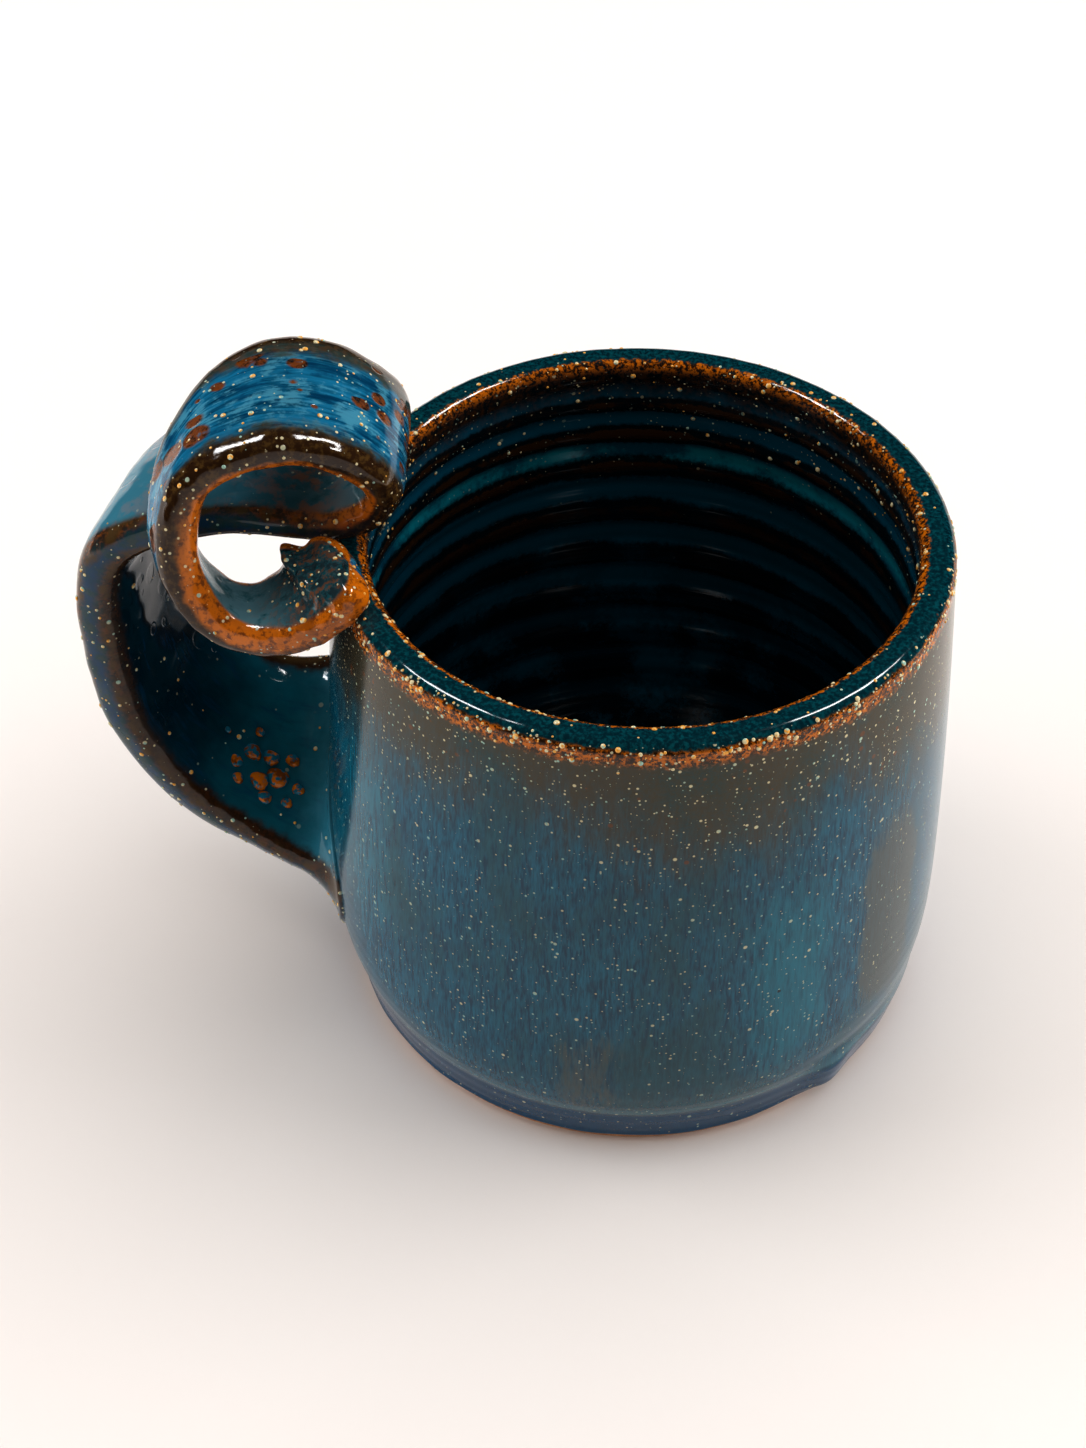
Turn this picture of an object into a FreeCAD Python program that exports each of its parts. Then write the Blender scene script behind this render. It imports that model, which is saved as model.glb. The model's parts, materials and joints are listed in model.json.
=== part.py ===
"""Wheel-thrown mug whose strap handle climbs from the belly, rests on the lip and rolls into an open curl.

Frame: +Z up the mug's axis, origin in the middle of the foot, handle towards -X, loose end of the curl towards -Y.
"""
import FreeCAD
import Part
import math
import os

V = FreeCAD.Vector

# --- Driving dimensions, mm -------------------------------------------------------------------
HEIGHT = 83.4          # foot to the top of the lip
RIM_R = 43.0           # outer radius just under the lip
BELLY_SWELL = 3.1      # how far the belly stands outside the rim
BELLY_Z = 24.0         # height of the widest place
RIDGE_Z = 9.0          # height of the turned edge above the foot
RIDGE_STEP = 2.0       # how far the turned edge stands inside the belly
FOOT_STEP = 1.6        # how far the glaze line stands inside the turned edge
BARE_H = 2.0           # height of the bare clay under the glaze line
BARE_IN = 0.7          # how far the bare clay stands inside the glaze line
FOOT_W = 6.5           # width of the ring that the mug stands on
WALL_T = 4.6           # clay and glaze of the wall at the belly
LIP_T = 5.0            # thickness of the flat-topped lip
LIP_ROUND = 1.9        # rounding of both edges of the lip
FLOOR_TOP = 7.0        # height of the inside floor
FLOOR_ROUND = 13.0     # radius of the turn between floor and wall
GLAZE_T = 0.45         # thickness of a glaze coat
LIP_BAND = 4.0         # depth of the lip's own glaze below its top
LINE_ROLL = 0.65       # radius of the roll of glaze along the glaze line
THROW_WAVE = 0.35      # height of the throwing rings inside
THROW_PITCH = 8.5      # distance between the throwing rings
ROOT_T = 9.8           # strap thickness where it leaves the belly
EAR_T = 8.8            # strap thickness round the ear
CURL_T = 6.4           # strap thickness round the curl
TAIL_T = 5.8           # strap thickness at its pressed end
SINK = 3.0             # how far the root of the strap is pressed into the wall
CURL_R = 12.1          # radius of the curl to the middle of the strap
CURL_OUT = 6.5         # the curl's centre outside the rim
CURL_UP = 6.1          # the curl's centre above the lip
STRAP_SIDE = -6.0      # near edge of the strap where it crosses the lip
BEAD_R = 1.1           # radius of the largest bead of glaze on the ear
DRIP_R = 2.0           # radius of the drop of glaze at the glaze line
DRIP_DEG = -52.0       # place of that drop round the foot, from +X

BELLY_R = RIM_R + BELLY_SWELL
RIDGE_R = BELLY_R - RIDGE_STEP
LINE_R = RIDGE_R - FOOT_STEP
BARE_R = LINE_R - BARE_IN
LIP_Z = HEIGHT - LIP_ROUND
UPPER_FALL = 1.45      # power of the curve from belly to rim
LOWER_FALL = 3.0       # power of the curve from belly to turned edge
ROLL_BEVELS = ((0.60, 0.15), (0.85, 0.55), (0.90, 1.10), (0.75, 1.60))  # corners of the roll, in its radii


def wall_r(z):
    """Outer radius of the glazed wall at height z."""
    if z >= BELLY_Z:
        share = min(1.0, (z - BELLY_Z) / (LIP_Z - BELLY_Z))
        return BELLY_R - BELLY_SWELL * share ** UPPER_FALL
    share = min(1.0, (BELLY_Z - z) / (BELLY_Z - RIDGE_Z))
    return BELLY_R - RIDGE_STEP * share ** LOWER_FALL


def inner_r(z):
    """Inner radius of the glazed wall at height z, above the turn of the floor."""
    share = (z - BELLY_Z) / (LIP_Z - BELLY_Z)
    thick = WALL_T + (LIP_T - WALL_T) * max(0.0, share)
    wave = THROW_WAVE * math.sin(2 * math.pi * z / THROW_PITCH) * min(1.0, (LIP_Z - z) / THROW_PITCH)
    return wall_r(z) - thick + wave


def spline(points):
    curve = Part.BSplineCurve()
    curve.interpolate([V(r, 0, z) for r, z in points])
    return curve.toShape()


def line(start, end):
    return Part.makeLine(V(start[0], 0, start[1]), V(end[0], 0, end[1]))


def arc(start, middle, end):
    return Part.Arc(*[V(r, 0, z) for r, z in (start, middle, end)]).toShape()


def turned(edges):
    """Solid turned about the mug's axis from a closed outline of radius and height."""
    wire = Part.Wire(Part.__sortEdges__(edges))
    solid = Part.Face(wire).revolve(V(0, 0, 0), V(0, 0, 1), 360)
    return solid if solid.Volume > 0 else solid.reversed()


def heights(low, high, steps):
    return [low + (high - low) * i / steps for i in range(steps + 1)]


def corner_arc(centre, radius, start_deg, end_deg):
    """Start, middle and end of an arc about a centre in the turned outline."""
    def at(deg):
        a = math.radians(deg)
        return centre[0] + radius * math.cos(a), centre[1] + radius * math.sin(a)
    return at(start_deg), at((start_deg + end_deg) / 2), at(end_deg)


def outer_edges(skin, top):
    """Outside of the mug from the glaze line up to a height, set in by skin, and its two ends."""
    foot = (LINE_R - skin, BARE_H)
    ridge = (RIDGE_R - skin, RIDGE_Z)
    low = [(wall_r(z) - skin, z) for z in heights(RIDGE_Z, BELLY_Z, 5)]
    high = [(wall_r(z) - skin, z) for z in heights(BELLY_Z, top, 7)]
    return [line(foot, ridge), spline(low), spline(high)], foot, high[-1]


def lip_edges(skin):
    """Rounded outer edge, flat top and rounded inner edge of the lip, set in by skin, and its ends."""
    radius = LIP_ROUND - skin
    outer = corner_arc((RIM_R - LIP_ROUND, LIP_Z), radius, 0, 90)
    inner = corner_arc((RIM_R - LIP_T + LIP_ROUND, LIP_Z), radius, 90, 180)
    return [arc(*outer), line(outer[2], inner[0]), arc(*inner)], outer[0], inner[2]


def inner_edges(skin):
    """Inside of the mug from the lip down to the middle of the floor, set in by skin, and its ends."""
    turn_z = FLOOR_TOP + FLOOR_ROUND
    wall = [(inner_r(z) + skin, z) for z in heights(turn_z, LIP_Z, 28)]
    turn = corner_arc((inner_r(turn_z) - FLOOR_ROUND, turn_z), FLOOR_ROUND + skin, 270, 360)
    floor = (0.0, turn[0][1])
    edges = [spline([turn[2]] + wall[1:]), arc(*turn), line(turn[0], floor)]
    return edges, wall[-1], floor


def make_thrown(skin):
    """Wall and floor as one turned solid down to the glaze line, set in by skin."""
    outside, foot, _ = outer_edges(skin, LIP_Z)
    inside, _, floor = inner_edges(skin)
    under = (0.0, BARE_H)
    return turned(outside + lip_edges(skin)[0] + inside + [line(floor, under), line(under, foot)])


def make_foot_ring():
    """Bare trimmed ring that the mug stands on, bevelled up to the glaze line."""
    inner = BARE_R - FOOT_W
    points = [(inner, 0.0), (BARE_R - BARE_IN, 0.0), (BARE_R, BARE_IN), (BARE_R, BARE_H), (inner, BARE_H)]
    return turned([line(a, b) for a, b in zip(points, points[1:] + points[:1])])


def make_filled(skin):
    """The mug's outside up to the lip, filled solid, to trim what is pressed into the wall."""
    outside, foot, high = outer_edges(skin, LIP_Z)
    under, top = (0.0, BARE_H), (0.0, high[1])
    return turned(outside + [line(high, top), line(top, under), line(under, foot)])


def make_outer_glaze():
    """Coat on the outside, from the glaze line up to the lip's own glaze."""
    top = HEIGHT - LIP_BAND
    outside, foot, high = outer_edges(0.0, top)
    clay, clay_foot, clay_high = outer_edges(GLAZE_T, top)
    return turned(outside + clay + [line(foot, clay_foot), line(high, clay_high)])


def make_lip_glaze():
    """Coat over the lip, where the glaze runs thin and breaks to amber."""
    edges = []
    for skin in (0.0, GLAZE_T):
        lip, outer, inner = lip_edges(skin)
        below = [(wall_r(z) - skin, z) for z in heights(HEIGHT - LIP_BAND, LIP_Z, 2)]
        edges += lip + [spline(below)]
        if skin:
            edges += [line(inner, (inner[0] - GLAZE_T, LIP_Z)), line(below[0], (below[0][0] + GLAZE_T, below[0][1]))]
    return turned(edges)


def make_liner_glaze():
    """Coat on the inside, from the lip's own glaze down over the floor."""
    coat, coat_top, coat_floor = inner_edges(0.0)
    clay, clay_top, clay_floor = inner_edges(GLAZE_T)
    return turned(coat + clay + [line(coat_top, clay_top), line(coat_floor, clay_floor)])


def make_line_roll():
    """Roll of thick glaze that stopped running just above the bare foot, bevelled round its outside."""
    lean = FOOT_STEP / (RIDGE_Z - BARE_H)
    end = 2 * LINE_ROLL
    outside = [(LINE_R + LINE_ROLL * out, BARE_H + LINE_ROLL * up) for out, up in ROLL_BEVELS]
    points = [(LINE_R, BARE_H)] + outside + [(LINE_R + end * lean, BARE_H + end)]
    return turned([line(a, b) for a, b in zip(points, points[1:] + points[:1])])


def make_drip(glazed, roll):
    """Drop of glaze that ran down to the glaze line and froze there."""
    drop = Part.makeSphere(DRIP_R, V(LINE_R + DRIP_R / 3, 0, BARE_H + DRIP_R))
    drop.rotate(V(0, 0, 0), V(0, 0, 1), DRIP_DEG)
    above = Part.makeCylinder(BELLY_R, RIDGE_Z, V(0, 0, BARE_H))
    return drop.common(above).cut(glazed).cut(roll)


# --- Strap handle -----------------------------------------------------------------------------
# A station is the strap's near edge, its far edge and its thickness. Ear stations are measured
# out from the wall at their own height; rim and tail stations out from the rim and up from the lip.
EAR_STATIONS = [  # near (out, side, share of height), far (out, side, share of height), thickness
    ((-SINK, -11.0, 0.190), (-SINK, 21.5, 0.490), ROOT_T),
    ((5.7, -8.5, 0.245), (7.4, 19.0, 0.470), ROOT_T),
    ((20.3, -6.5, 0.356), (18.9, 18.0, 0.512), 9.5),
    ((30.6, STRAP_SIDE, 0.550), (27.2, 17.0, 0.645), 9.1),
    ((33.6, STRAP_SIDE, 0.790), (30.0, 17.0, 0.825), EAR_T),
    ((31.2, STRAP_SIDE, 0.955), (27.2, 18.0, 0.985), 8.0),
]
RIM_STATIONS = [  # near (out, side, up), far (out, side, up), thickness
    ((20.0, STRAP_SIDE, 1.7), (15.5, 18.0, 2.6), 7.0),
    ((8.0, STRAP_SIDE, 2.7), (6.5, 17.0, 3.1), CURL_T),
    ((-2.5, -6.6, 3.1), (-3.5, 17.0, 3.7), CURL_T),
]
CURL_STATIONS = [  # angle round the curl, near side, strap width, how far the near and far edges stand out
    (11, -8.0, 24.0, 2.6, 2.0),
    (55, -9.5, 24.0, 1.3, 1.3),
    (90, -11.2, 24.3, 0.5, 1.2),
    (130, -13.0, 21.5, 0.4, 2.0),
    (168, -15.2, 10.0, -0.5, 3.0),
    (188, -16.4, 9.4, -0.5, 3.0),
    (212, -17.5, 9.2, 0.3, 2.4),
    (250, -19.3, 10.6, 1.3, 1.3),
]
TAIL_STATIONS = [  # near (out, side, up), far (out, side, up), thickness
    ((1.4, -21.0, -4.4), (5.4, -7.4, -3.9), 6.2),
    ((-5.5, -20.8, 1.6), (1.0, -7.2, 1.7), TAIL_T),
]


def from_wall(out, side, share):
    z = share * HEIGHT
    return V(-(math.sqrt(wall_r(z) ** 2 - side ** 2) + out), side, z)


def from_rim(out, side, up):
    return V(-(RIM_R + out), side, HEIGHT + up)


def on_curl(angle, side, radius):
    a = math.radians(angle)
    return from_rim(CURL_OUT - radius * math.cos(a), side, CURL_UP + radius * math.sin(a))


def strap_stations():
    rows = [(from_wall(*n), from_wall(*f), t) for n, f, t in EAR_STATIONS]
    rows += [(from_rim(*n), from_rim(*f), t) for n, f, t in RIM_STATIONS]
    for angle, side, width, near_flare, far_flare in CURL_STATIONS:
        near = on_curl(angle, side, CURL_R + near_flare)
        far = on_curl(angle, side + width, CURL_R + far_flare)
        rows.append((near, far, CURL_T))
    return rows + [(from_rim(*n), from_rim(*f), t) for n, f, t in TAIL_STATIONS]


class Strap:
    """The pulled strap as smooth curves along its near edge, its far edge and its thickness."""

    def __init__(self, rows):
        middles = [(near + far) * 0.5 for near, far, _ in rows]
        self.knots = [0.0]
        for a, b in zip(middles, middles[1:]):
            self.knots.append(self.knots[-1] + a.distanceToPoint(b))
        self.near = self.through([row[0] for row in rows])
        self.far = self.through([row[1] for row in rows])
        self.thick = self.through([V(row[2], 0, at) for row, at in zip(rows, self.knots)])

    def through(self, points):
        curve = Part.BSplineCurve()
        curve.interpolate(Points=points, Parameters=self.knots)
        return curve

    def section(self, at, skin, scale=1.0):
        """Rounded cross-section at a distance along the strap, set in by skin."""
        near, far, thick = self.near.value(at), self.far.value(at), self.thick.value(at).x
        across = (near - far) * 0.5
        along = self.near.tangent(at)[0] + self.far.tangent(at)[0]
        up = along.cross(across).normalize()
        half_w, half_t = across.Length - skin, thick / 2 - skin
        across = across.normalize()
        half_w, half_t = half_w * scale, half_t * scale
        points = []
        for i in range(SECTION_POINTS):
            a = 2 * math.pi * i / SECTION_POINTS
            c, s = math.cos(a), math.sin(a)
            w = math.copysign(abs(c) ** (2 / SQUARENESS), c) * half_w
            h = math.copysign(abs(s) ** (2 / SQUARENESS), s) * half_t
            points.append((near + far) * 0.5 + across * w + up * h)
        return points

    def rounded_end(self, rows, at, skin):
        """The rows with the strap's free end closed by a rounded nose."""
        nose = self.thick.value(at).x / 2 - skin
        along = (self.near.tangent(at)[0] + self.far.tangent(at)[0]).normalize()
        for deg in NOSE_DEGREES:
            a = math.radians(deg)
            ahead = along * (nose * math.sin(a))
            rows.append([point + ahead for point in self.section(at, skin, math.cos(a) ** 0.5)])
        return rows

    def on_inside(self, at, across, lift):
        """Point on the face towards the ear's hollow, across from -1 far to 1 near, lifted off it."""
        near, far, thick = self.near.value(at), self.far.value(at), self.thick.value(at).x
        along = self.near.tangent(at)[0] + self.far.tangent(at)[0]
        up = along.cross(near - far).normalize()
        return (near + far) * 0.5 + (near - far) * (across / 2) + up * (thick / 2 + lift)

    def length(self, first, last, skin=0.0):
        """Solid between two stations, given by their place in the list of stations."""
        low, high = self.knots[first], self.knots[last]
        count = max(4, round((high - low) / SECTION_STEP))
        rows = [self.section(at, skin) for at in heights(low, high, count)]
        if last == len(self.knots) - 1:
            rows = self.rounded_end(rows, high, skin)
        spans = len(rows) - 3
        surface = Part.BSplineSurface()
        surface.buildFromPolesMultsKnots(
            rows, [4] + [1] * (spans - 1) + [4], [1] * (SECTION_POINTS + 1),
            heights(0, spans, spans), heights(0, SECTION_POINTS, SECTION_POINTS), False, True, 3, 3)
        ends = [Part.Face(Part.Wire(surface.uIso(u).toShape())) for u in (0, spans)]
        shell = Part.Shell([surface.toShape()] + ends)
        shell.sewShape()
        solid = Part.Solid(shell)
        solid.fix(0.01, 0.01, 0.01)
        return solid if solid.Volume > 0 else solid.reversed()


SECTION_POINTS = 20    # points round one cross-section
SQUARENESS = 3.0       # 2 would be an ellipse, more is squarer
SECTION_STEP = 3.5     # distance between cross-sections along the strap
NOSE_DEGREES = (30, 55, 75, 88)  # places of the cross-sections that close the rounded end

EAR_END, CURL_END, TAIL_END = 7, 15, 18       # stations where the strap's lengths meet
BEADS = [(16.0, 0.30, 1.0), (19.5, 0.42, 0.75), (14.0, 0.10, 0.6), (21.5, 0.15, 0.8), (12.0, 0.35, 0.5),
         (24.0, 0.35, 0.55)]  # distance along the strap, place across it, share of the largest radius


def make_beads(strap, coat):
    """Beads of glaze that ran together and froze on the lower part of the ear."""
    beads = []
    for at, across, size in BEADS:
        radius = BEAD_R * size
        beads.append(Part.makeSphere(radius, strap.on_inside(at, across, radius / 3)).cut(coat))
    return Part.makeCompound(beads)


def make_nodes():
    """Every node of the mug by name."""
    clay, glazed = make_thrown(GLAZE_T), make_thrown(0.0)
    clay_filled, glazed_filled = make_filled(GLAZE_T), make_filled(0.0)
    strap = Strap(strap_stations())
    roll = make_line_roll()
    nodes = {"thrown_body": clay, "foot_ring": make_foot_ring()}
    lengths = {"ear": (0, EAR_END), "curl": (EAR_END, CURL_END), "tail": (CURL_END, TAIL_END)}
    outer_glaze, lip_glaze = make_outer_glaze(), make_lip_glaze()
    for name, (first, last) in lengths.items():
        core, whole = strap.length(first, last, GLAZE_T), strap.length(first, last)
        if name == "ear":
            nodes["glaze_beads"] = make_beads(strap, whole)
            core, whole = core.cut(clay_filled), whole.cut(glazed_filled)
        nodes["strap_" + name] = core.cut(clay)
        nodes[name + "_glaze"] = whole.cut(core).cut(glazed)
        outer_glaze, lip_glaze = outer_glaze.cut(core), lip_glaze.cut(core)
    nodes["outer_glaze"], nodes["lip_glaze"] = outer_glaze, lip_glaze
    nodes["liner_glaze"] = make_liner_glaze()
    nodes["glaze_line_roll"] = roll
    nodes["glaze_drop"] = make_drip(glazed, roll)
    return nodes


if __name__ == "__main__":
    os.makedirs("parts", exist_ok=True)
    for node, shape in make_nodes().items():
        print(node, shape.isValid(), [round(solid.Volume, 1) for solid in shape.Solids])
        shape.exportStep("parts/%s.step" % node)
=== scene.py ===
"""Looks of a hand-thrown mug whose strap handle climbs over the lip and rolls into an open curl."""
import json
import math

import bmesh
import bpy
import numpy as np
from bpy.props import FloatProperty, FloatVectorProperty, IntProperty, PointerProperty
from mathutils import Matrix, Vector

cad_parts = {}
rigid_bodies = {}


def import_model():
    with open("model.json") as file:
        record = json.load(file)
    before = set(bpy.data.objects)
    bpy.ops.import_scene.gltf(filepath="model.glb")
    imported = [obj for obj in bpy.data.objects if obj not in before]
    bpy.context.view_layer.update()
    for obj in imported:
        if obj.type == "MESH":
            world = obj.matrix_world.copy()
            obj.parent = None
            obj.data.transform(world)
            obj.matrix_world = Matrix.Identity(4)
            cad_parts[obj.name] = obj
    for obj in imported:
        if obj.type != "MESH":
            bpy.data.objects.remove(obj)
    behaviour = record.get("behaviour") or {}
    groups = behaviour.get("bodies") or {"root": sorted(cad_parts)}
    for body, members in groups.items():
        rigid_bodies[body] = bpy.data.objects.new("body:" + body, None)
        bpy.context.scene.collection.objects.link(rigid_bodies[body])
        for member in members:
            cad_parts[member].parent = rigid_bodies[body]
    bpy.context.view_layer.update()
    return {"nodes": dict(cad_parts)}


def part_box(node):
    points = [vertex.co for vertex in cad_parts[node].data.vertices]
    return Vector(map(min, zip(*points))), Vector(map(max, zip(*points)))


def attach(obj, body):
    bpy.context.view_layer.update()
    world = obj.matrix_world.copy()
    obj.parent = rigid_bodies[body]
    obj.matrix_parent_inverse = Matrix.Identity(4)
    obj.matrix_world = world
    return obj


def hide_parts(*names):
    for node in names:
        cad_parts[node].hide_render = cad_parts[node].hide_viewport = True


bl_info = {
    "name": "Curled Mug",
    "version": (1, 0, 0),
    "blender": (4, 5, 0),
    "location": "View3D > Sidebar > Mug",
    "description": "Builds the glaze, specks and bare clay of a hand-thrown mug round its fixed frame",
    "category": "Object",
}

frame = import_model()
MM = 0.001

# Sizes in millimetres, read from the frame where a node's box shows them
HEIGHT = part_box("lip_glaze")[1].z / MM
RIM_R = 43.0    # outer radius just under the lip
BELLY_R = (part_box("outer_glaze")[1].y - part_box("outer_glaze")[0].y) / 2 / MM
BARE_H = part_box("foot_ring")[1].z / MM


# --- Settings a user would change ---------------------------------------------------------------
def colour(name, default, description):
    return FloatVectorProperty(name=name, subtype="COLOR", size=3, min=0.0, max=1.0,
                               default=default, description=description)


class MugGlazeSettings(bpy.types.PropertyGroup):
    blue: colour("Blue", (0.001, 0.040, 0.078), "Body of the outer glaze")
    blue_light: colour("Light blue", (0.008, 0.150, 0.235), "Lighter streaks in the outer glaze")
    slate: colour("Slate", (0.010, 0.058, 0.070), "Greyer clouds in the outer glaze")
    deep: colour("Deep blue", (0.001, 0.050, 0.125), "Thick glaze under the turned edge")
    teal: colour("Teal", (0.006, 0.150, 0.210), "Where the glaze pools thick")
    olive: colour("Olive", (0.042, 0.042, 0.020), "Where the glaze is thinner, under the lip")
    olive_brown: colour("Olive brown", (0.085, 0.046, 0.012), "Browner clouds in the thin glaze")
    drab: colour("Drab", (0.075, 0.080, 0.070), "Grey-brown patch low on one side")
    amber: colour("Amber", (0.560, 0.165, 0.003), "Where the glaze breaks over an edge")
    rust: colour("Rust", (0.190, 0.052, 0.004), "Brown patches in the blue")
    burnt: colour("Burnt", (0.032, 0.013, 0.004), "Darkest brown of the broken glaze")
    lip_dark: colour("Lip", (0.001, 0.026, 0.038), "Glassy glaze on top of the lip")
    lip_light: colour("Lip light", (0.002, 0.085, 0.105), "Lighter streaks on top of the lip")
    ink: colour("Ink", (0.002, 0.006, 0.009), "Darkest part of the liner")
    navy: colour("Navy", (0.002, 0.075, 0.130), "Pools between the rings of the liner")
    tea: colour("Tea", (0.045, 0.016, 0.004), "Ridges of the liner")
    # painted highlight: colour of the bright teal ring high on the liner
    ring_highlight_teal: colour("Shore", (0.006, 0.330, 0.420), "Brightest ring of the liner")
    cream: colour("Cream", (0.720, 0.650, 0.420), "Specks that float in the glaze")
    mint: colour("Mint", (0.380, 0.580, 0.500), "Greener specks in the glaze")
    # blue-grey glaze with a painted reflection on the curl's inner face; also the painted highlight above the
    # turned ridge
    blue_grey_sheen: colour("Dusk", (0.110, 0.230, 0.280), "Inner face of the curl")
    night: colour("Night", (0.001, 0.018, 0.034), "Hollow face of the ear")
    # real pale streaks on the curl; also the painted highlight near the ear's root and the painted reflection
    # on its outer shoulder
    pale_and_sheen: colour("Pale blue", (0.080, 0.290, 0.400), "Palest streaks on the curl")
    clay: colour("Clay", (0.420, 0.190, 0.080), "Bare stoneware of the foot")
    clay_light: colour("Light clay", (0.620, 0.340, 0.180), "Paler grains of the bare stoneware")
    gold: colour("Gold", (0.800, 0.420, 0.090), "Raised specks on the edges")
    sky: colour("Sky", (0.012, 0.180, 0.320), "Bright blue on the curl")


class MugShapeSettings(bpy.types.PropertyGroup):
    wall: FloatProperty(name="Wall", default=4.6 * MM, unit="LENGTH", description="Thickness of the wall")
    lip: FloatProperty(name="Lip", default=5.0 * MM, unit="LENGTH", description="Thickness of the flat lip")
    round: FloatProperty(name="Lip rounding", default=1.9 * MM, unit="LENGTH",
                         description="Rounding of both edges of the lip")
    ring_depth: FloatProperty(name="Ring depth", default=0.34 * MM, unit="LENGTH",
                              description="Height of the throwing rings inside")
    segments: IntProperty(name="Segments", default=300, description="Points round the mug")
    seed: IntProperty(name="Seed", default=4, description="Seed of the specks")


class MugStudioSettings(bpy.types.PropertyGroup):
    key: FloatProperty(name="Right window", default=5.0, description="Its power, in watts")
    fill: FloatProperty(name="Left window", default=4.0, description="Its power, in watts")
    top: FloatProperty(name="Sky panel", default=33.0, description="Power of the large panel, in watts")
    side: FloatProperty(name="Side walls", default=12.0, description="Power of each low panel, in watts")
    ambient: FloatProperty(name="Ambient", default=0.40, description="Strength of the even surrounding light")


def settings():
    scene = bpy.context.scene
    return scene.mug_glaze, scene.mug_shape, scene.mug_studio


# --- Shader maths as expressions ------------------------------------------------------------------
class Value:
    """A number socket of a shader tree; the usual operators add Math nodes."""

    def __init__(self, tree, socket):
        self.tree, self.socket = tree, socket

    def _math(self, operation, *others):
        return self.tree.add("ShaderNodeMath", {"operation": operation}, dict(enumerate((self,) + others)))

    def __add__(self, other): return self._math("ADD", other)
    def __mul__(self, other): return self._math("MULTIPLY", other)
    def __sub__(self, other): return self._math("SUBTRACT", other)
    def __truediv__(self, other): return self._math("DIVIDE", other)
    def __pow__(self, other): return self._math("POWER", other)
    def __neg__(self): return self._math("MULTIPLY", -1.0)
    def __rsub__(self, other): return (-self) + other
    def __abs__(self): return self._math("ABSOLUTE")
    __radd__, __rmul__ = __add__, __mul__

    def sin(self): return self._math("SINE")
    def least(self, other): return self._math("MINIMUM", other)
    def most(self, other): return self._math("MAXIMUM", other)

    def ramp(self, low, high, smooth=True):
        """0 at low, 1 at high, clamped between; low may be above high."""
        kind = "SMOOTHSTEP" if smooth else "LINEAR"
        values = {"Value": self, "From Min": low, "From Max": high}
        return self.tree.add("ShaderNodeMapRange", {"interpolation_type": kind}, values)

    def band(self, low, rise, high, fall):
        """1 between low and high, with soft sides of the widths rise and fall."""
        return self.ramp(low - rise, low + rise) * self.ramp(high + fall, high - fall)


class Tree:
    """Adds nodes to one material's tree, each from its type, settings and socket values."""

    def __init__(self, name):
        self.material = bpy.data.materials.new(name)
        self.material.use_nodes = True
        self.nodes, self.links = self.material.node_tree.nodes, self.material.node_tree.links
        self.nodes.clear()
        self.output = self.nodes.new("ShaderNodeOutputMaterial")
        self.place = self.add("ShaderNodeTexCoord", {}, {}, "Object")
        self.mm = self.vector("SCALE", self.place, Scale=1 / MM)

    def add(self, kind, sets, values, out=0):
        node = self.nodes.new(kind)
        for key, setting in sets.items():
            setattr(node, key, setting)
        for key, value in values.items():
            self.feed(node.inputs[key], value)
        return Value(self, node.outputs[out])

    def feed(self, socket, value):
        if isinstance(value, Value):
            self.links.new(value.socket, socket)
        elif socket.type == "RGBA":
            socket.default_value = tuple(value)[:3] + (1.0,)
        else:
            socket.default_value = value

    def vector(self, operation, first, second=None, **others):
        values = {0: first}
        if second is not None:
            values[1] = second
        values.update(others)
        return self.add("ShaderNodeVectorMath", {"operation": operation}, values)

    def stretched(self, x, y, z):
        """Position in millimetres, divided by a length along each axis."""
        return self.vector("MULTIPLY", self.mm, (1 / x, 1 / y, 1 / z))

    def noise(self, where, scale=1.0, detail=2.0, rough=0.5, distort=0.0):
        values = {"Vector": where, "Scale": scale, "Detail": detail, "Roughness": rough,
                  "Distortion": distort}
        return self.add("ShaderNodeTexNoise", {}, values, "Fac")

    def mix(self, share, first, second):
        node = self.nodes.new("ShaderNodeMix")
        node.data_type = "RGBA"
        for key, value in ((0, share), (6, first), (7, second)):
            self.feed(node.inputs[key], value)
        return Value(self, node.outputs[2])

    def attribute(self, name):
        return self.add("ShaderNodeAttribute", {"attribute_name": name}, {}, "Fac")

    def specks(self, where, spacing, size, share):
        """Mask of round specks and a random number for each; spacing and size in millimetres."""
        node = self.nodes.new("ShaderNodeTexVoronoi")
        self.feed(node.inputs["Vector"], where)
        self.feed(node.inputs["Scale"], 1 / spacing)
        distance = Value(self, node.outputs["Distance"]) * spacing
        parts = self.nodes.new("ShaderNodeSeparateColor")
        self.links.new(node.outputs["Color"], parts.inputs[0])
        pick, big, tone = [Value(self, parts.outputs[i]) for i in range(3)]
        radius = (big * big * 0.75 + 0.25) * size
        mask = (distance / radius).ramp(1.15, 0.75) * (pick - share).ramp(0.01, -0.01)
        return mask, tone

    def finish(self, base, rough, height, bump, **shader):
        """Glossy surface from a colour, a roughness and a height in millimetres."""
        values = {"Base Color": base, "Roughness": rough}
        if height is not None:
            values["Normal"] = self.add("ShaderNodeBump", {}, {"Height": height, "Distance": bump * MM,
                                                               "Strength": 1.0}, "Normal")
        values.update(shader)
        surface = self.add("ShaderNodeBsdfPrincipled", {}, values)
        self.links.new(surface.socket, self.output.inputs["Surface"])
        return self.material


# --- Mesh helpers -----------------------------------------------------------------------------------
def wave(angle, seed, orders, size):
    """Smooth closed unevenness round the mug, from a few whole-number waves."""
    rng = np.random.default_rng(seed)
    total = np.zeros_like(angle)
    for order in orders:
        total = total + rng.uniform(0.4, 1.0) * np.sin(order * angle + rng.uniform(0, 2 * math.pi))
    return size * total / len(orders)


def smoothstep(value, low, high):
    t = np.clip((value - low) / (high - low), 0.0, 1.0)
    return t * t * (3 - 2 * t)


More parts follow.
